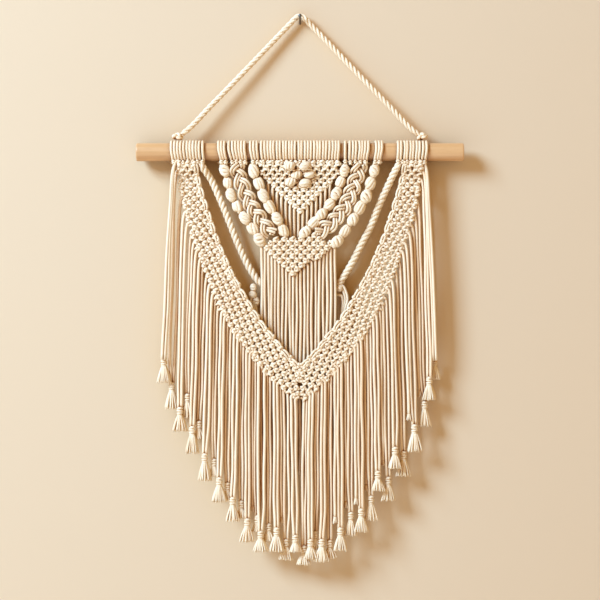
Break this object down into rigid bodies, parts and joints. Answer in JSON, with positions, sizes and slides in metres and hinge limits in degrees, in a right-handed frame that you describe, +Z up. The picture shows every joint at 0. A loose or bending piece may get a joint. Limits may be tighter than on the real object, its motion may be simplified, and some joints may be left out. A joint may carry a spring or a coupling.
{
  "type": "macrame wall hanging on a wooden dowel with its nail",
  "caption": "Knotted cotton macrame wall hanging in V tiers with long tasselled fringe, on a wooden dowel that hangs by a twisted rope from a nail.",
  "frame": {"origin": "centre of the nail's cut end, on the wall plane", "axes": "+Z up, -Y the front that faces the room, the wall is the plane Y = 0"},
  "size_m": [0.4, 0.0342, 0.6761],
  "materials": {
    "cotton": "matt unbleached cotton cord",
    "wood": "oiled pale wood",
    "steel": "dull grey steel"
  },
  "bodies": {
    "root": {"dowel": "wood", "nail": "steel", "hanger_rope": "cotton", "heading_left": "cotton", "heading_inner_left": "cotton", "heading_centre": "cotton", "heading_inner_right": "cotton", "heading_right": "cotton", "long_v_left": "cotton", "long_v_right": "cotton", "centre_net": "cotton", "short_fringe": "cotton", "inner_chain_left": "cotton", "inner_chain_right": "cotton", "outer_chain_left": "cotton", "outer_chain_right": "cotton", "braid_left": "cotton", "braid_right": "cotton", "second_net": "cotton", "central_fringe": "cotton", "swag_rope_left": "cotton", "swag_rope_right": "cotton", "long_fringe_left": "cotton", "long_fringe_right": "cotton", "tassel_01": "cotton", "tassel_02": "cotton", "tassel_03": "cotton", "tassel_04": "cotton", "tassel_05": "cotton", "tassel_06": "cotton", "tassel_07": "cotton", "tassel_08": "cotton", "tassel_09": "cotton", "tassel_10": "cotton", "tassel_11": "cotton", "tassel_12": "cotton", "tassel_13": "cotton", "tassel_14": "cotton", "tassel_15": "cotton", "tassel_16": "cotton", "tassel_17": "cotton", "tassel_18": "cotton", "tassel_19": "cotton", "tassel_20": "cotton", "tassel_21": "cotton", "tassel_22": "cotton", "tassel_23": "cotton", "tassel_24": "cotton", "tassel_25": "cotton", "tassel_26": "cotton", "tassel_27": "cotton", "tassel_28": "cotton", "tassel_29": "cotton", "tassel_30": "cotton", "tassel_31": "cotton", "tassel_32": "cotton", "tassel_33": "cotton", "tassel_34": "cotton", "tassel_35": "cotton", "tassel_36": "cotton"}
  },
  "joints": []
}
